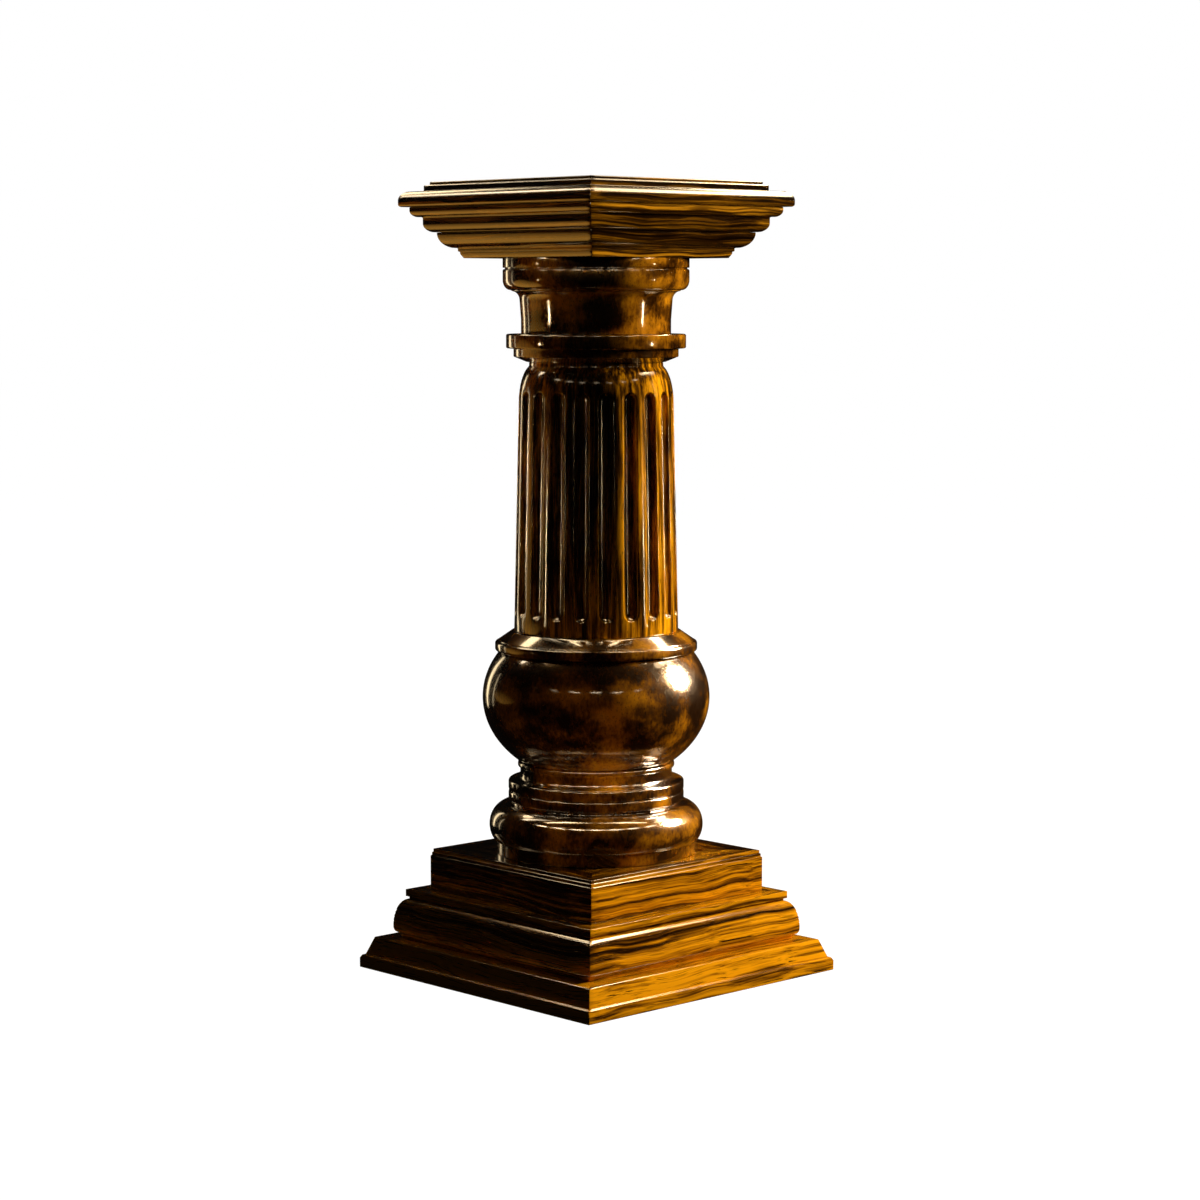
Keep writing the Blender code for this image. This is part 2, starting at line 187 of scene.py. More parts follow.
# Studio: each light's place, what it is aimed at, its width and height, power, colour, kind and the angle
# it opens to, in metres, watts and degrees. A light of kind "shine" is only seen reflected in the varnish,
# one of kind "fill" is never reflected, and one of kind "both" lights and is reflected.
WARM = (1, 0.78, 0.46)
CREAM = (1, 0.84, 0.58)
PALE = (1, 0.88, 0.68)
SOFT = (1, 0.80, 0.55)
GOLD = (1, 0.54, 0.14)
AMBER = (1, 0.50, 0.08)
LIGHTS = {
    "sun": ((1.13, 1.72, 1.15), (0, 0, 0.40), (0.55, 0.55), 105, CREAM, "fill", 180),
    "key": ((0.60, 0.83, 0.73), (0, 0, 0.22), (0.46, 0.46), 40, PALE, "shine", 60),
    "overhead": ((0.22, -0.21, 3.20), (0, 0, 0.40), (4.6, 0.40), 200, WARM, "shine", 180),
    "right_strip": ((0.12, 1.66, 2.15), (0, 0, 0.40), (2.2, 0.32), 62, WARM, "shine", 180),
    "right_soft": ((1.0, 1.45, 2.0), (0.1, 0, 0.50), (0.9, 0.35), 9, WARM, "shine", 180),
    "left_strip": ((-1.73, 0.12, 2.05), (0, 0, 0.15), (1.6, 0.36), 2.4, WARM, "shine", 70),
    "left_lines": ((-1.0, -0.567, 1.79), (-0.1, -0.2, 0.93), (0.25, 1.1), 0.9, CREAM, "shine", 50),
    "left_edge": ((-2.59, 0.24, 0.55), (0, 0, 0.50), (0.30, 1.5), 4.5, WARM, "shine", 180),
    "left_side": ((-2.55, -0.52, 0.45), (0, 0, 0.50), (0.10, 1.2), 0.9, WARM, "shine", 180),
    "left_glint": ((-1.19, -2.20, 0.45), (0, 0, 0.647), (0.08, 0.46), 0.015, WARM, "shine", 5),
    "left_glint_high": ((-1.19, -2.20, 0.53), (0, 0, 0.644), (0.08, 0.30), 0.009, WARM, "shine", 4),
    "right_glint": ((2.13, 1.31, 0.45), (0, 0, 0.647), (0.08, 0.46), 0.018, WARM, "shine", 5),
    "right_glint_high": ((2.13, 1.31, 0.53), (0, 0, 0.644), (0.08, 0.30), 0.010, WARM, "shine", 4),
    "under_top": ((-0.54, -0.42, 0.52), (-0.10, -0.20, 0.87), (0.60, 0.60), 0.36, AMBER, "both", 80),
    "nosing_light": ((0.51, 1.03, 1.79), (0.2, 0.1, 0.93), (0.7, 1.1), 0.95, CREAM, "shine", 33),
    "low_fill": ((0.36, -0.30, 0.17), (0, 0, 0.30), (0.12, 0.12), 0.02, GOLD, "fill", 60),
    "front_fill": ((-0.6, -3.0, 1.4), (0, 0, 0.45), (2.0, 2.0), 0.2, SOFT, "fill", 180),
}

# Two rings of small lamps before the pedestal, which draw thin lines along the edges of its turned rings:
# each ring's distance from the axis, its height, the height it is aimed at, and the power of one lamp.
# The lamps stand at LAMP_TURNS degrees from the camera's azimuth.
LAMP_RINGS = {
    "foot_lamp": (0.45, 0.47, 0.165, 0.02),
    "capital_lamp": (0.50, 0.93, 0.775, 0.02),
}
LAMP_TURNS = range(-66, 67, 22)
LAMP_SIZE = (0.18, 0.03)
LAMP_COLOUR = (1, 0.84, 0.60)
LAMP_OPENING = 26

# Room: to the camera the backdrop and the floor are white, and to the pedestal nearly dark
WHITE = (1, 1, 1, 1)
BACKDROP_STRENGTH = 1
ROOM_COLOUR = (1, 0.93, 0.82, 1)
ROOM_STRENGTH = 0.003
FLOOR_SIZE = 40
FLOOR_COLOUR = (0.06, 0.06, 0.06, 1)
FLOOR_ROUGHNESS = 0.9

# Wood. SIDES_APART gives the two pairs of a board's sides different grain. Bends, streaks, patches, threads,
# pores and ripples are noises, each with its detail and roughness. Threads and pores begin where their noise
# passes the first value of their range, and are full at the second.
SIDES_APART = 3.7
BENDS_PER_METRE = 7
BEND_NOISE = (2, 0.4)
STREAK_NOISE = (6, 0.62)
PATCH_NOISE = (3, 0.5)
THREAD_NOISE = (3, 0.6)
PORE_NOISE = (2, 0.5)
RIPPLE_NOISE = (1, 0.4)
THREAD_RANGE = (0.40, 0.34)
PORE_RANGE = (0.60, 0.68)
STREAK_RANGE = (0.3, 0.7)
DARK_LINE = (0.005, 0.0016, 0.0003, 1)
LINE_DEPTH_SHARE = 0.35
GRAIN_DEPTH = 0.0006
RIPPLE_DEPTH = 0.001

# The wood's own gloss under the varnish, rougher where the streaks are dark
WOOD_ROUGHNESS = (0.24, 0.12)
WOOD_SPECULAR = 0.2
WOOD_TINT = (1, 0.5, 0.07, 1)

# Painted light and shade: how much lighter or darker than the middle tone each tier of the plinth is, the
# three tiers being one wood that is lit differently
BASE_PAINTED_LIGHT = 0.11
MIDDLE_PAINTED_LIGHT = 0.06
BLOCK_PAINTED_SHADE = -0.09


class Moulding:
    """A piece in edit mode, worked downwards from its upper face, one edge of its side after another."""

    def __init__(self, node, sides):
        low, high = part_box(node)
        self.node = node
        self.reach = high.x
        self.underside = low.z
        self.level = high.z
        self.half = high.x
        self.sides = sides

    def start(self, half):
        """Lays the upper face."""
        bpy.ops.object.select_all(action="DESELECT")
        place = (0, 0, self.level)
        if self.sides == SQUARE:
            bpy.ops.mesh.primitive_grid_add(
                x_subdivisions=BOARD_CUTS, y_subdivisions=BOARD_CUTS, size=2 * half, location=place
            )
        else:
            bpy.ops.mesh.primitive_circle_add(
                vertices=self.sides, radius=half, fill_type="NGON", location=place
            )
        self.half = half
        bpy.ops.object.transform_apply(location=True, rotation=True, scale=True)
        bpy.ops.object.mode_set(mode="EDIT")
        bpy.ops.mesh.select_all(action="SELECT")

    def line(self, width, height):
        """Goes out by width, or in where it is negative, and down by height."""
        grown = self.half + width
        bpy.ops.mesh.extrude_region_move(TRANSFORM_OT_translate={"value": (0, 0, -height)})
        share = grown / self.half
        bpy.ops.transform.resize(value=(share, share, 1), center_override=(0, 0, 0))
        self.half = grown
        self.level -= height

    def out_to(self, half):
        """Goes out or in on the level, unless the outline is there already."""
        if abs(half - self.half) > SAME_PLACE:
            self.line(half - self.half, 0)

    def down_to_underside(self, width=0):
        self.line(width, self.level - self.underside)

    def level_quarter(self, width, height, steps=CURVE_STEPS):
        """A quarter of an ellipse that leaves level and ends plumb: round going out, hollow going in."""
        for step in range(steps):
            here, there = pi / 2 * step / steps, pi / 2 * (step + 1) / steps
            self.line(width * (sin(there) - sin(here)), height * (cos(here) - cos(there)))

    def plumb_quarter(self, width, height, steps=CURVE_STEPS, last_turn=90):
        """A quarter of an ellipse that leaves plumb and ends level, or its first last_turn degrees."""
        for step in range(steps):
            here, there = radians(last_turn) * step / steps, radians(last_turn) * (step + 1) / steps
            self.line(width * (cos(here) - cos(there)), height * (sin(there) - sin(here)))

    def rounded_band(self, radius, face_height, edge):
        """A plumb band whose upper and lower edges are rounded."""
        self.out_to(radius - edge)
        self.level_quarter(edge, edge, EDGE_STEPS)
        self.line(0, face_height)
        self.plumb_quarter(-edge, edge, EDGE_STEPS)

    def finish(self, material, arris=ARRIS_WIDTH):
        bpy.ops.mesh.select_all(action="SELECT")
        bpy.ops.mesh.normals_make_consistent(inside=False)
        bpy.ops.object.mode_set(mode="OBJECT")
        piece = bpy.context.object
        return finish_piece(piece, self.node, material, arris)


def apply_modifier(piece, kind, **settings):
    modifier = piece.modifiers.new(kind.lower(), kind)
    for name, value in settings.items():
        setattr(modifier, name, value)
    bpy.ops.object.modifier_apply(modifier=modifier.name)


def finish_piece(piece, node, material, arris):
    """Softens the arrises, gives the wood its finish and puts the piece in its node's place."""
    piece.name = piece.data.name = node.replace("_", "-")
    smooth_turn = radians(SMOOTH_ANGLE)
    apply_modifier(
        piece, "BEVEL", width=arris, segments=ARRIS_SEGMENTS, limit_method="ANGLE", angle_limit=smooth_turn
    )
    bpy.ops.object.mode_set(mode="EDIT")
    bpy.ops.mesh.select_all(action="SELECT")
    bpy.ops.mesh.remove_doubles(threshold=SAME_PLACE)
    bpy.ops.object.mode_set(mode="OBJECT")
    bpy.ops.object.shade_smooth_by_angle(angle=smooth_turn)
    piece.data.materials.clear()
    piece.data.materials.append(material)
    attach(piece, BODY)
    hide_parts(node)
    return piece


def make_base_board(material):
    board = Moulding("plinth_base_board", SQUARE)
    board.start(board.reach - BASE_ARRIS_WIDTH - BASE_LEDGE - BASE_BEVEL_WIDTH)
    edge_and_arris = BASE_EDGE_HEIGHT + BASE_ARRIS_HEIGHT + BASE_STEP_HEIGHT
    board.line(BASE_BEVEL_WIDTH, board.level - board.underside - edge_and_arris)
    board.line(0, BASE_STEP_HEIGHT)
    board.line(BASE_LEDGE, 0)
    board.line(BASE_ARRIS_WIDTH, BASE_ARRIS_HEIGHT)
    board.down_to_underside()
    board.finish(material)


def reeded_round(board):
    """The middle board's round, with fine grooves cut along its lower half."""
    first_groove = CURVE_STEPS - MIDDLE_REEDS
    for step in range(CURVE_STEPS):
        here, there = pi / 2 * step / CURVE_STEPS, pi / 2 * (step + 1) / CURVE_STEPS
        width = MIDDLE_ROUND_WIDTH * (sin(there) - sin(here))
        height = MIDDLE_ROUND_HEIGHT * (cos(here) - cos(there))
        if step >= first_groove:
            board.line(-REED_GROOVE_DEPTH, REED_GROOVE_WIDTH / 2)
            board.line(REED_GROOVE_DEPTH, REED_GROOVE_WIDTH / 2)
            height -= REED_GROOVE_WIDTH
        board.line(width, height)


def make_middle_board(material):
    board = Moulding("plinth_middle_board", SQUARE)
    board.start(board.reach - MIDDLE_ROUND_WIDTH + MIDDLE_QUIRK_DEPTH)
    board.line(0, MIDDLE_FILLET_HEIGHT)
    board.line(-MIDDLE_QUIRK_DEPTH, 0)
    board.line(0, MIDDLE_QUIRK_HEIGHT)
    reeded_round(board)
    board.line(0, MIDDLE_FACE_HEIGHT)
    board.plumb_quarter(-MIDDLE_UNDERCUT_WIDTH, MIDDLE_UNDERCUT_HEIGHT)
    board.down_to_underside(-MIDDLE_FOOT_WIDTH)
    board.finish(material)


def make_block(material):
    board = Moulding("plinth_block", SQUARE)
    board.start(board.reach - 2 * BLOCK_REED_WIDTH)
    for _reed in range(2):
        board.line(0, BLOCK_REED_HEIGHT)
        board.line(BLOCK_REED_WIDTH, 0)
    board.down_to_underside()
    board.finish(material)


def make_foot(material):
    foot = Moulding("turned_foot", TURNED_SIDES)
    ring = foot.reach - RING_INSIDE_TORUS
    waist = ring - RING_PROJECTION
    foot.start(waist)
    foot.rounded_band(waist + SMALL_RING_PROJECTION, SMALL_RING_FACE_HEIGHT, SMALL_RING_ROUND)
    foot.out_to(waist)
    foot.line(0, WAIST_HEIGHT)
    foot.plumb_quarter(WAIST_COVE, WAIST_COVE)
    for _ring in range(2):
        foot.rounded_band(ring, RING_FACE_HEIGHT, RING_ROUND)
    foot.out_to(ring - QUIRK_DEPTH)
    foot.line(0, QUIRK_HEIGHT)
    foot.out_to(foot.reach - TORUS_BULGE)
    foot.level_quarter(TORUS_BULGE, TORUS_HALF_HEIGHT, 2 * CURVE_STEPS)
    foot.plumb_quarter(-TORUS_BULGE, TORUS_HALF_HEIGHT, last_turn=TORUS_LOWER_TURN)
    foot.out_to(foot.reach - DRUM_INSET)
    foot.down_to_underside()
    return foot.finish(material)


def make_bulb(material):
    bulb = Moulding("bulb", TURNED_SIDES)
    first, last = radians(BULB_UPPER_TURN), -radians(BULB_LOWER_TURN)
    bulb.start(bulb.reach * cos(first))
    for step in range(BULB_STEPS):
        here = first + (last - first) * step / BULB_STEPS
        there = first + (last - first) * (step + 1) / BULB_STEPS
        bulb.line(bulb.reach * (cos(there) - cos(here)), BULB_POLE_HEIGHT * (sin(here) - sin(there)))
    return bulb.finish(material)


def make_collar(material):
    collar = Moulding("bulb_collar", TURNED_SIDES)
    rim = collar.reach
    collar.start(rim - COLLAR_STEP - COLLAR_RIM_ROUND - COLLAR_SLOPE_WIDTH)
    collar.line(COLLAR_SLOPE_WIDTH, COLLAR_SLOPE_HEIGHT)
    collar.line(0, COLLAR_STEP)
    collar.rounded_band(rim, COLLAR_RIM_FACE_HEIGHT, COLLAR_RIM_ROUND)
    collar.out_to(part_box("bulb")[1].x * cos(radians(BULB_UPPER_TURN)))
    collar.down_to_underside()
    return collar.finish(material)


def make_neck_ring(material):
    ring = Moulding("neck_ring", TURNED_SIDES)
    ring.start(BELL_RADIUS)
    ring.rounded_band(ring.reach, NECK_BAND_FACE_HEIGHT, NECK_BAND_ROUND)
    ring.out_to(ring.reach - LOWER_BAND_INSET)
    ring.line(0, LOWER_BAND_FACE_HEIGHT)
    ring.plumb_quarter(-LOWER_BAND_ROUND, LOWER_BAND_ROUND, EDGE_STEPS)
    ring.down_to_underside(shaft_neck_radius() + NECK_SEAT_MARGIN - ring.half)
    ring.finish(material)


def make_capital(material):
    capital = Moulding("capital", TURNED_SIDES)
    capital.start(capital.reach)
    capital.line(0, CAPITAL_DRUM_HEIGHT)
    capital.line(-CAPITAL_QUIRK_DEPTH, 0)
    capital.line(0, CAPITAL_QUIRK_HEIGHT)
    capital.line(CAPITAL_QUIRK_DEPTH - BEAD_UPPER_ROUND, 0)
    capital.level_quarter(BEAD_UPPER_ROUND, BEAD_UPPER_ROUND, EDGE_STEPS)
    capital.line(0, BEAD_FACE_HEIGHT)
    capital.plumb_quarter(-BEAD_LOWER_WIDTH, BEAD_LOWER_HEIGHT)
    capital.line(-BEAD_FILLET, 0)
    capital.line(0, BEAD_FILLET)
    capital.level_quarter(BELL_RADIUS + BELL_FLARE - capital.half, COVE_HEIGHT)
    capital.line(-BELL_FLARE, BELL_FLARE_HEIGHT)
    capital.down_to_underside()
    capital.finish(material)


def make_ovolo_board(material):
    board = Moulding("ovolo_board", SQUARE)
    board.start(board.reach)
    board.plumb_quarter(-OVOLO_WIDTH, OVOLO_HEIGHT)
    board.line(-FILLET_PROJECTION, 0)
    board.line(0, FILLET_HEIGHT)
    board.line(-FILLET_PROJECTION, 0)
    board.line(0, board.level - board.underside - TOP_BEVEL_HEIGHT)
    board.down_to_underside(-TOP_BEVEL_WIDTH)
    board.finish(material)


def make_bed_moulding(material):
    board = Moulding("bed_moulding", SQUARE)
    board.start(board.reach)
    board.line(0, BED_UPPER_FACE_HEIGHT)
    board.plumb_quarter(-BED_UPPER_ROUND, BED_UPPER_ROUND)
    board.line(-BED_STEP, 0)
    board.line(0, board.level - board.underside - BED_LOWER_ROUND)
    board.plumb_quarter(-BED_LOWER_ROUND, BED_LOWER_ROUND)
    board.finish(material)


def make_top_board(material):
    board = Moulding("top_board", SQUARE)
    board.start(board.reach - NOSING_ROUND - NOSING_SHELF - STEP_INSET)
    board.line(0, STEP_HEIGHT)
    board.line(STEP_INSET, 0)
    board.line(0, LOWER_STEP_HEIGHT)
    board.line(NOSING_SHELF, 0)
    board.level_quarter(NOSING_ROUND, NOSING_ROUND)
    board.line(0, board.level - board.underside - NOSING_UNDER_ROUND)
    board.plumb_quarter(-NOSING_UNDER_ROUND, NOSING_UNDER_ROUND, EDGE_STEPS)
    board.finish(material)


def shoulder_pole_height():
    return SHOULDER_HEIGHT / sin(radians(SHOULDER_TURN))


def shaft_neck_radius():
    return SHAFT_TOP_RADIUS - SHOULDER_WIDTH * (1 - cos(radians(SHOULDER_TURN)))


def shaft_radius(height, foot_radius):
    """Radius of the shaft's surface at a height over its foot, below the neck."""
    if height <= SHAFT_TAPER_HEIGHT:
        return foot_radius + (SHAFT_TOP_RADIUS - foot_radius) * height / SHAFT_TAPER_HEIGHT
    turn = asin((height - SHAFT_TAPER_HEIGHT) / shoulder_pole_height())
    return SHAFT_TOP_RADIUS - SHOULDER_WIDTH * (1 - cos(turn))


def select_level(height):
    """Selects, in edit mode, the vertices at a height."""
    bpy.ops.mesh.select_all(action="DESELECT")
    bpy.ops.object.mode_set(mode="OBJECT")
    for vertex in bpy.context.object.data.vertices:
        vertex.select = abs(vertex.co.z - height) < SAME_PLACE
    bpy.ops.object.mode_set(mode="EDIT")


def sink_flute(half_width):
    """Insets the selected flat face down a round hollow, from its edge nearly to its middle."""
    hollow_radius = (half_width**2 + FLUTE_DEPTH**2) / (2 * FLUTE_DEPTH)
    first_turn = asin(half_width / hollow_radius)
    turns = [first_turn * (1 - step / (FLUTE_STEPS + 0.5)) for step in range(FLUTE_STEPS + 1)]
    for here, there in zip(turns, turns[1:]):
        narrower = hollow_radius * (sin(here) - sin(there))
        deeper = hollow_radius * (cos(there) - cos(here))
        bpy.ops.mesh.inset(thickness=narrower, depth=-deeper)


def make_flute_panel(pitch, lower_end, upper_end):
    """A flat panel, one pitch wide along X, with a round-ended flute sunk towards +Y.

    Z is the height on the shaft. The two ends are the heights of the middles of the flute's round ends.
    """
    border = pitch / 2
    bpy.ops.object.select_all(action="DESELECT")
    place = (0, 0, (lower_end + upper_end) / 2)
    bpy.ops.mesh.primitive_plane_add(size=1, location=place, rotation=(pi / 2, 0, 0))
    panel = bpy.context.object
    panel.scale = (pitch, upper_end - lower_end + pitch, 1)
    bpy.ops.object.transform_apply(location=True, rotation=True, scale=True)
    bpy.ops.object.mode_set(mode="EDIT")
    bpy.ops.mesh.select_all(action="SELECT")
    bpy.ops.mesh.bevel(
        affect="VERTICES", offset=border, segments=FLUTE_END_SEGMENTS, clamp_overlap=False
    )
    bpy.ops.mesh.remove_doubles(threshold=SAME_PLACE)
    bpy.ops.mesh.inset(thickness=FLUTE_FILLET_WIDTH / 2, depth=0)
    sink_flute(border - FLUTE_FILLET_WIDTH / 2)
    bpy.ops.object.mode_set(mode="OBJECT")
    for vertex in panel.data.vertices:
        middle = min(max(vertex.co.z, lower_end), upper_end)
        rise = vertex.co.z - middle
        if abs(rise) > SAME_PLACE and sqrt(vertex.co.x**2 + rise**2) > border - SAME_PLACE:
            to_square = border / max(abs(vertex.co.x), abs(rise))
            vertex.co.x *= to_square
            vertex.co.z = middle + rise * to_square
    return panel


def make_shaft(material):
    """Bends a row of flute panels into a ring, tapers it, and adds the shaft's foot and shoulder."""
    low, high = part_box("fluted_shaft")
    foot_radius = high.x
    pitch = 2 * pi * foot_radius / FLUTE_COUNT
    flute_half = (pitch - FLUTE_FILLET_WIDTH) / 2
    lower_end = FLUTE_FROM_FOOT + flute_half
    upper_end = SHAFT_TAPER_HEIGHT + FLUTE_PAST_TAPER - flute_half
    shaft = make_flute_panel(pitch, lower_end, upper_end)
    apply_modifier(
        shaft, "ARRAY", count=FLUTE_COUNT, use_merge_vertices=True, merge_threshold=SAME_PLACE
    )
    apply_modifier(shaft, "SIMPLE_DEFORM", deform_method="BEND", deform_axis="Z", angle=2 * pi)
    middle = sum((vertex.co for vertex in shaft.data.vertices), Vector()) / len(shaft.data.vertices)
    for vertex in shaft.data.vertices:
        x, y = vertex.co.x - middle.x, vertex.co.y - middle.y
        drawn_in = foot_radius - shaft_radius(vertex.co.z, foot_radius)
        share = 1 - drawn_in / sqrt(x**2 + y**2)
        vertex.co.x, vertex.co.y = x * share, y * share
    bpy.ops.object.mode_set(mode="EDIT")
    bpy.ops.mesh.select_all(action="SELECT")
    bpy.ops.mesh.remove_doubles(threshold=SAME_PLACE)
    add_shaft_foot(lower_end - pitch / 2, foot_radius)
    add_shoulder(upper_end + pitch / 2, high.z - low.z, foot_radius)
    bpy.ops.mesh.select_all(action="SELECT")
    bpy.ops.mesh.normals_make_consistent(inside=False)
    bpy.ops.transform.translate(value=(0, 0, low.z))
    bpy.ops.object.mode_set(mode="OBJECT")
    finish_piece(shaft, "fluted_shaft", material, FLUTE_ARRIS)


def extrude_ring(rise, growth):
    bpy.ops.mesh.extrude_region_move(TRANSFORM_OT_translate={"value": (0, 0, rise)})
    bpy.ops.transform.resize(value=(growth, growth, 1), center_override=(0, 0, 0))


def add_shaft_foot(border_level, foot_radius):
    """Carries the bottom of the flutes' ring straight down to the shaft's underside."""
    select_level(border_level)
    extrude_ring(-border_level, foot_radius / shaft_radius(border_level, foot_radius))
    bpy.ops.mesh.edge_face_add()


def add_shoulder(border_level, height, foot_radius):
    """Carries the top of the flutes' ring up over the rounded shoulder to the neck."""
    select_level(border_level)
    first_turn = asin((border_level - SHAFT_TAPER_HEIGHT) / shoulder_pole_height())
    last_turn = radians(SHOULDER_TURN)
    level, radius = border_level, shaft_radius(border_level, foot_radius)
    for step in range(1, SHOULDER_STEPS + 1):
        turn = first_turn + (last_turn - first_turn) * step / SHOULDER_STEPS
        next_level = SHAFT_TAPER_HEIGHT + shoulder_pole_height() * sin(turn)
        next_radius = SHAFT_TOP_RADIUS - SHOULDER_WIDTH * (1 - cos(turn))
        extrude_ring(next_level - level, next_radius / radius)
        level, radius = next_level, next_radius
    extrude_ring(height - level, 1)
    bpy.ops.mesh.edge_face_add()


def add_node(tree, kind, inputs=None, **settings):
    """Adds a node. An input is given by name or number, as a value or as the socket that feeds it."""
    node = tree.nodes.new("ShaderNode" + kind)
    for name, value in settings.items():
        setattr(node, name, value)
    for key, value in (inputs or {}).items():
        if isinstance(value, bpy.types.NodeSocket):
            tree.links.new(value, node.inputs[key])
        else:
            node.inputs[key].default_value = value
    return node


def math(tree, operation, *values):
    return add_node(tree, "Math", dict(enumerate(values)), operation=operation).outputs[0]


def vector_math(tree, operation, first, second):
    return add_node(tree, "VectorMath", {0: first, 1: second}, operation=operation).outputs[0]


def noise(tree, vector, stretch, kind):
    """Noise with its features per metre along the three directions, and its kind as (detail, roughness)."""
    placed = add_node(tree, "Mapping", {"Vector": vector, "Scale": stretch}).outputs[0]
    settings = {"Vector": placed, "Scale": 1, "Detail": kind[0], "Roughness": kind[1]}
    return add_node(tree, "TexNoise", settings).outputs["Fac"]


def shades(tree, factor, stops):
    """A colour ramp through (place, colour) stops."""
    ramp = add_node(tree, "ValToRGB", {0: factor})
    elements = ramp.color_ramp.elements
    while len(elements) < len(stops):
        elements.new(0.5)
    for element, (place, colour) in zip(elements, stops):
        element.position = place
        element.color = (*colour, 1)
    return ramp.outputs["Color"]


def spread(tree, value, old_range, new_range):
    """Spreads the part of a value in its old range over a new range."""
    inputs = {0: value, 1: old_range[0], 2: old_range[1], 3: new_range[0], 4: new_range[1]}
    return add_node(tree, "MapRange", inputs, clamp=True).outputs[0]


def mitred_grain(tree):
    """Across, along and up on a square board, whose grain runs round its four sides and meets in mitres."""
    place = add_node(tree, "TexCoord").outputs["Object"]
    x, y, z = add_node(tree, "SeparateXYZ", {0: place}).outputs
    on_x_side = math(tree, "GREATER_THAN", math(tree, "ABSOLUTE", x), math(tree, "ABSOLUTE", y))
    along = math(tree, "ADD", math(tree, "MULTIPLY", on_x_side, math(tree, "SUBTRACT", y, x)), x)
    across = math(tree, "SUBTRACT", math(tree, "ADD", x, y), along)
    apart = math(tree, "MULTIPLY_ADD", on_x_side, SIDES_APART, across)
    return add_node(tree, "CombineXYZ", {0: apart, 1: along, 2: z}).outputs[0]


def upright_grain(tree):
    """Across, along and up on a turned piece, whose grain runs up its axis."""
    place = add_node(tree, "TexCoord").outputs["Object"]
    x, y, z = add_node(tree, "SeparateXYZ", {0: place}).outputs
    return add_node(tree, "CombineXYZ", {0: x, 1: z, 2: y}).outputs[0]


def wavy(tree, vector, reach):
    """Bends the grain to and fro by up to half of reach."""
    detail, roughness = BEND_NOISE
    settings = {"Vector": vector, "Scale": BENDS_PER_METRE, "Detail": detail, "Roughness": roughness}
    bend = add_node(tree, "TexNoise", settings).outputs["Color"]
    centred = vector_math(tree, "SUBTRACT", bend, (0.5, 0.5, 0.5))
    scaled = vector_math(tree, "MULTIPLY", centred, (reach, 0, reach))
    return vector_math(tree, "ADD", vector, scaled)


def raised(tree, height, strength, depth):
    """The normal of a surface with this relief."""
    return add_node(tree, "Bump", {"Height": height, "Strength": strength, "Distance": depth}).outputs[0]


def varnished_wood(name, grain, colours, figure, painted_lift=0):
    """Streaked wood under a clear gloss varnish.

    grain gives the directions across, along and up. colours are the shades from the darkest streak to the
    brightest, as (place, colour) stops, and the lift makes them all lighter; on the plinth's tiers it paints
    light and shade onto one wood. figure gives how far the grain waves, the features per metre of the
    streaks, the broad patches, the thin dark threads, the pores and the varnish's ripples, the share of
    each, the strength of the relief, and the varnish's roughness.
    """
    material = bpy.data.materials.new(name)
    material.use_nodes = True
    tree = material.node_tree
    bent = wavy(tree, grain(tree), figure["wave"])
    streak = noise(tree, bent, figure["streaks"], STREAK_NOISE)
    patch = noise(tree, bent, figure["patches"], PATCH_NOISE)
    thread = noise(tree, bent, figure["threads"], THREAD_NOISE)
    pore = noise(tree, bent, figure["pores"], PORE_NOISE)
    ripple = noise(tree, bent, figure["ripples"], RIPPLE_NOISE)
    shares = figure["streak_share"] + figure["patch_share"]
    streaked = math(tree, "MULTIPLY_ADD", streak, figure["streak_share"], (1 - shares) / 2 + painted_lift)
    tone = math(tree, "MULTIPLY_ADD", patch, figure["patch_share"], streaked)
    thread_dark = spread(tree, thread, THREAD_RANGE, (0, figure["thread_share"]))
    pore_dark = spread(tree, pore, PORE_RANGE, (0, figure["pore_share"]))
    lines = math(tree, "MAXIMUM", thread_dark, pore_dark)
    lined = add_node(tree, "MixRGB", {0: lines, 1: shades(tree, tone, colours), 2: DARK_LINE})
    relief = math(tree, "SUBTRACT", streak, math(tree, "MULTIPLY", lines, LINE_DEPTH_SHARE))
    shader = tree.nodes["Principled BSDF"]
    tree.links.new(lined.outputs[0], shader.inputs["Base Color"])
    tree.links.new(spread(tree, streak, STREAK_RANGE, WOOD_ROUGHNESS), shader.inputs["Roughness"])
    tree.links.new(raised(tree, relief, figure["relief"], GRAIN_DEPTH), shader.inputs["Normal"])
    waves = raised(tree, ripple, figure["ripple_share"], RIPPLE_DEPTH)
    tree.links.new(waves, shader.inputs["Coat Normal"])
    shader.inputs["Specular IOR Level"].default_value = WOOD_SPECULAR
    shader.inputs["Specular Tint"].default_value = WOOD_TINT
    shader.inputs["Coat Weight"].default_value = 1
    shader.inputs["Coat Roughness"].default_value = figure["coat_roughness"]
    return material


# Wood of one plinth tier. The lift paints light and shade onto it: lighter for the base and middle board,
# darker for the block.
def plinth_finish(name, painted_lift):
    colours = [
        (0.36, (0.014, 0.004, 0.0003)),
        (0.43, (0.10, 0.035, 0.0010)),
        (0.50, (0.38, 0.145, 0.002)),
        (0.60, (0.80, 0.34, 0.004)),
    ]
    figure = {
        "wave": 0.024,
        "streaks": (120, 1.7, 170),
        "patches": (14, 1.2, 22),
        "threads": (400, 2.2, 500),
        "pores": (420, 22, 420),
        "ripples": (60, 9, 60),
        "streak_share": 1,
        "patch_share": 0.6,
        "thread_share": 0.95,
        "pore_share": 0.4,
        "relief": 0.3,
        "ripple_share": 0.15,
        "coat_roughness": 0.09,
    }
    return varnished_wood(name, mitred_grain, colours, figure, painted_lift)


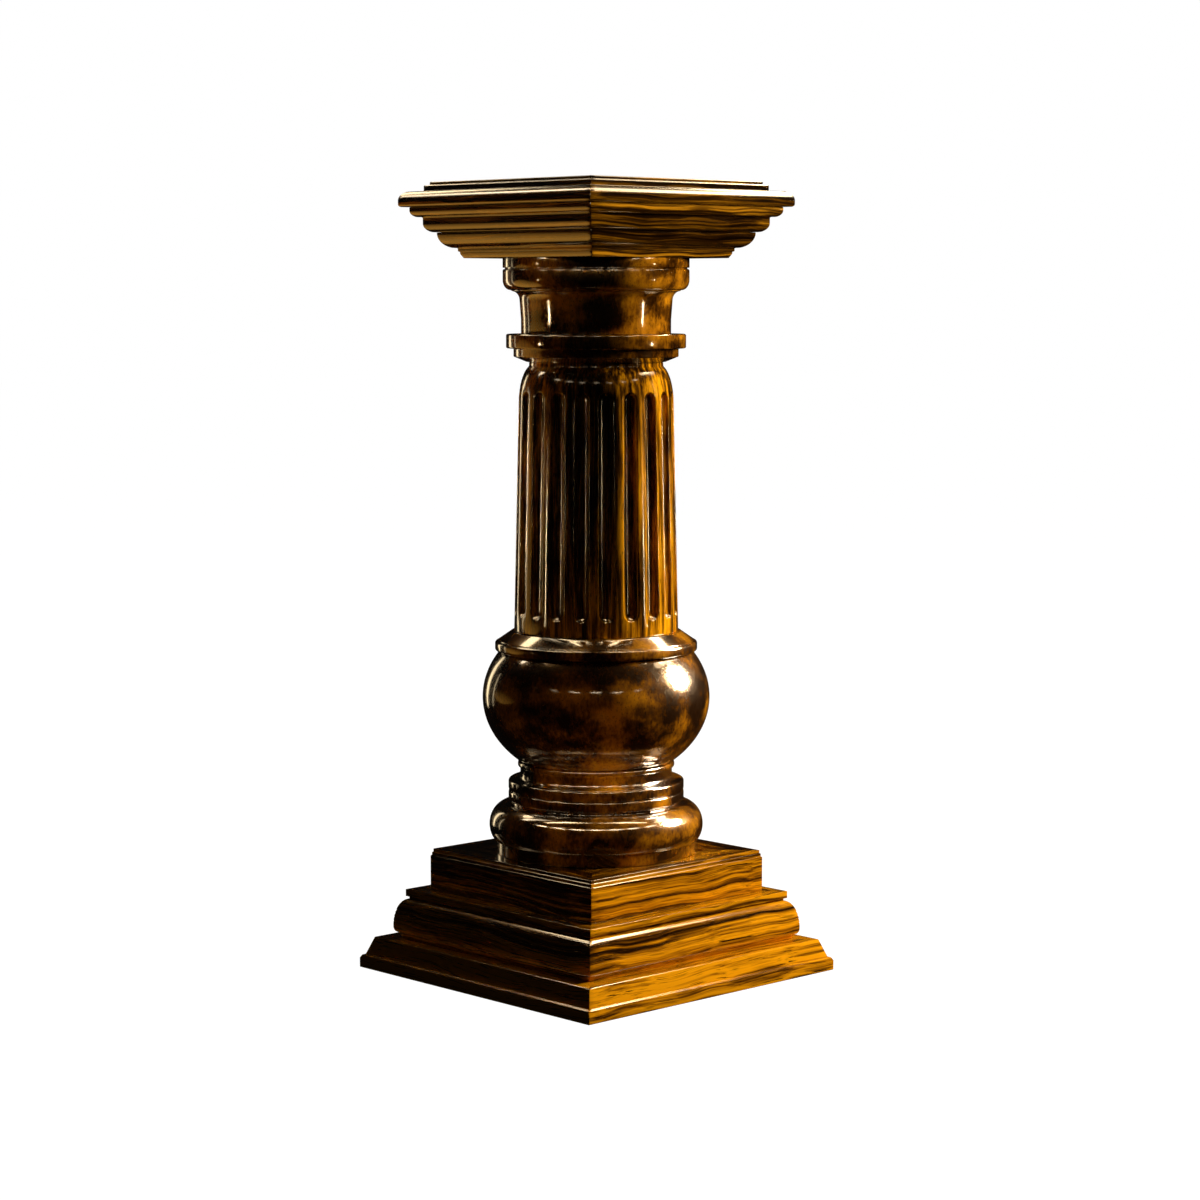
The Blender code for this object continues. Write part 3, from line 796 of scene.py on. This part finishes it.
def top_finish():
    colours = [
        (0.38, (0.004, 0.0014, 0.0001)),
        (0.46, (0.026, 0.009, 0.0004)),
        (0.55, (0.14, 0.058, 0.0018)),
        (0.64, (0.56, 0.25, 0.010)),
    ]
    figure = {
        "wave": 0.020,
        "streaks": (110, 1.8, 170),
        "patches": (14, 1.4, 24),
        "threads": (260, 1.8, 400),
        "pores": (420, 22, 420),
        "ripples": (60, 9, 60),
        "streak_share": 1,
        "patch_share": 0.45,
        "thread_share": 0.8,
        "pore_share": 0.4,
        "relief": 0.3,
        "ripple_share": 0.15,
        "coat_roughness": 0.16,
    }
    return varnished_wood("top-wood", mitred_grain, colours, figure)


def shaft_finish():
    colours = [
        (0.36, (0.012, 0.004, 0.0003)),
        (0.45, (0.10, 0.037, 0.0010)),
        (0.52, (0.34, 0.135, 0.0024)),
        (0.64, (0.84, 0.37, 0.006)),
    ]
    figure = {
        "wave": 0.012,
        "streaks": (150, 7, 150),
        "patches": (22, 7, 22),
        "threads": (300, 6, 300),
        "pores": (520, 90, 520),
        "ripples": (55, 30, 55),
        "streak_share": 1,
        "patch_share": 0.5,
        "thread_share": 0.7,
        "pore_share": 0.5,
        "relief": 0.12,
        "ripple_share": 0.20,
        "coat_roughness": 0.09,
    }
    return varnished_wood("shaft-wood", upright_grain, colours, figure)


def turned_finish():
    colours = [
        (0.34, (0.016, 0.005, 0.0003)),
        (0.47, (0.09, 0.031, 0.0011)),
        (0.57, (0.26, 0.098, 0.003)),
        (0.74, (0.56, 0.23, 0.006)),
    ]
    figure = {
        "wave": 0.020,
        "streaks": (260, 120, 260),
        "patches": (20, 26, 20),
        "threads": (300, 60, 300),
        "pores": (620, 400, 620),
        "ripples": (45, 60, 45),
        "streak_share": 0.45,
        "patch_share": 1.4,
        "thread_share": 0.3,
        "pore_share": 0.6,
        "relief": 0.12,
        "ripple_share": 0.22,
        "coat_roughness": 0.08,
    }
    return varnished_wood("turned-wood", upright_grain, colours, figure)


def make_light(name, place, target, size, power, colour, kind, opening):
    light = bpy.data.lights.new(name, "AREA")
    light.shape = "ELLIPSE"
    light.size, light.size_y = size
    light.energy = power
    light.color = colour
    light.spread = radians(opening)
    lamp = bpy.data.objects.new(name, light)
    lamp.location = place
    lamp.rotation_euler = (Vector(target) - Vector(place)).to_track_quat("-Z", "Y").to_euler()
    lamp.visible_camera = False
    lamp.visible_diffuse = kind != "shine"
    lamp.visible_glossy = kind != "fill"
    bpy.context.scene.collection.objects.link(lamp)
    return lamp


def light_only(lamp, pieces):
    """Lets a light fall on these pieces and nothing else."""
    lit = bpy.data.collections.new(lamp.name)
    for piece in pieces:
        lit.objects.link(piece)
    lamp.light_linking.receiver_collection = lit


def make_lamp_ring(name, distance, height, aim, power):
    for turn in LAMP_TURNS:
        azimuth = radians(CAMERA_AZIMUTH + turn)
        place = (distance * sin(azimuth), -distance * cos(azimuth), height)
        make_light(name, place, (0, 0, aim), LAMP_SIZE, power, LAMP_COLOUR, "shine", LAMP_OPENING)


def make_camera():
    azimuth, pitch = radians(CAMERA_AZIMUTH), radians(CAMERA_PITCH)
    camera = bpy.data.cameras.new("camera")
    camera.lens = CAMERA_LENS
    camera.sensor_width = CAMERA_FRAME
    camera.clip_end = CAMERA_REACH
    eye = bpy.data.objects.new("camera", camera)
    eye.location = (CAMERA_DISTANCE * sin(azimuth), -CAMERA_DISTANCE * cos(azimuth), CAMERA_HEIGHT)
    eye.rotation_euler = (pi / 2 - pitch, 0, azimuth + radians(CAMERA_PAN))
    bpy.context.scene.collection.objects.link(eye)
    bpy.context.scene.camera = eye


def make_world():
    """A dim warm room that shows as a pale backdrop to the camera."""
    world = bpy.data.worlds.new("studio")
    bpy.context.scene.world = world
    world.use_nodes = True
    tree = world.node_tree
    room = tree.nodes["Background"]
    room.inputs["Color"].default_value = ROOM_COLOUR
    room.inputs["Strength"].default_value = ROOM_STRENGTH
    backdrop = add_node(tree, "Background", {"Color": WHITE, "Strength": BACKDROP_STRENGTH})
    seen = add_node(tree, "LightPath").outputs["Is Camera Ray"]
    both = add_node(tree, "MixShader", {0: seen, 1: room.outputs[0], 2: backdrop.outputs[0]})
    tree.links.new(both.outputs[0], tree.nodes["World Output"].inputs["Surface"])


def make_floor():
    """A pale floor, as bright to the camera as the backdrop, which throws no light back up."""
    bpy.ops.object.select_all(action="DESELECT")
    bpy.ops.mesh.primitive_plane_add(size=FLOOR_SIZE)
    floor = bpy.context.object
    floor.name = "floor"
    material = bpy.data.materials.new("pale-floor")
    material.use_nodes = True
    tree = material.node_tree
    shader = tree.nodes["Principled BSDF"]
    shader.inputs["Base Color"].default_value = FLOOR_COLOUR
    shader.inputs["Roughness"].default_value = FLOOR_ROUGHNESS
    shader.inputs["Emission Color"].default_value = WHITE
    seen = add_node(tree, "LightPath").outputs["Is Camera Ray"]
    tree.links.new(math(tree, "MULTIPLY", seen, BACKDROP_STRENGTH), shader.inputs["Emission Strength"])
    floor.data.materials.append(material)
    floor.visible_glossy = False
    floor.visible_diffuse = False


make_camera()
turned = turned_finish()
top = top_finish()
# The three tiers are one wood with painted light and shade: the base and middle board lighter, the block
# darker.
make_base_board(plinth_finish("base-board-wood", BASE_PAINTED_LIGHT))
make_middle_board(plinth_finish("middle-board-wood", MIDDLE_PAINTED_LIGHT))
make_block(plinth_finish("block-wood", BLOCK_PAINTED_SHADE))
glossy_turnings = [make_foot(turned), make_bulb(turned), make_collar(turned)]
make_shaft(shaft_finish())
make_neck_ring(turned)
make_capital(turned)
make_ovolo_board(top)
make_bed_moulding(top)
make_top_board(top)
lights = {light_name: make_light(light_name, *settings) for light_name, settings in LIGHTS.items()}
light_only(lights["key"], glossy_turnings)
for ring_name, settings in LAMP_RINGS.items():
    make_lamp_ring(ring_name, *settings)
make_world()
make_floor()
bpy.context.scene.view_settings.view_transform = "Standard"
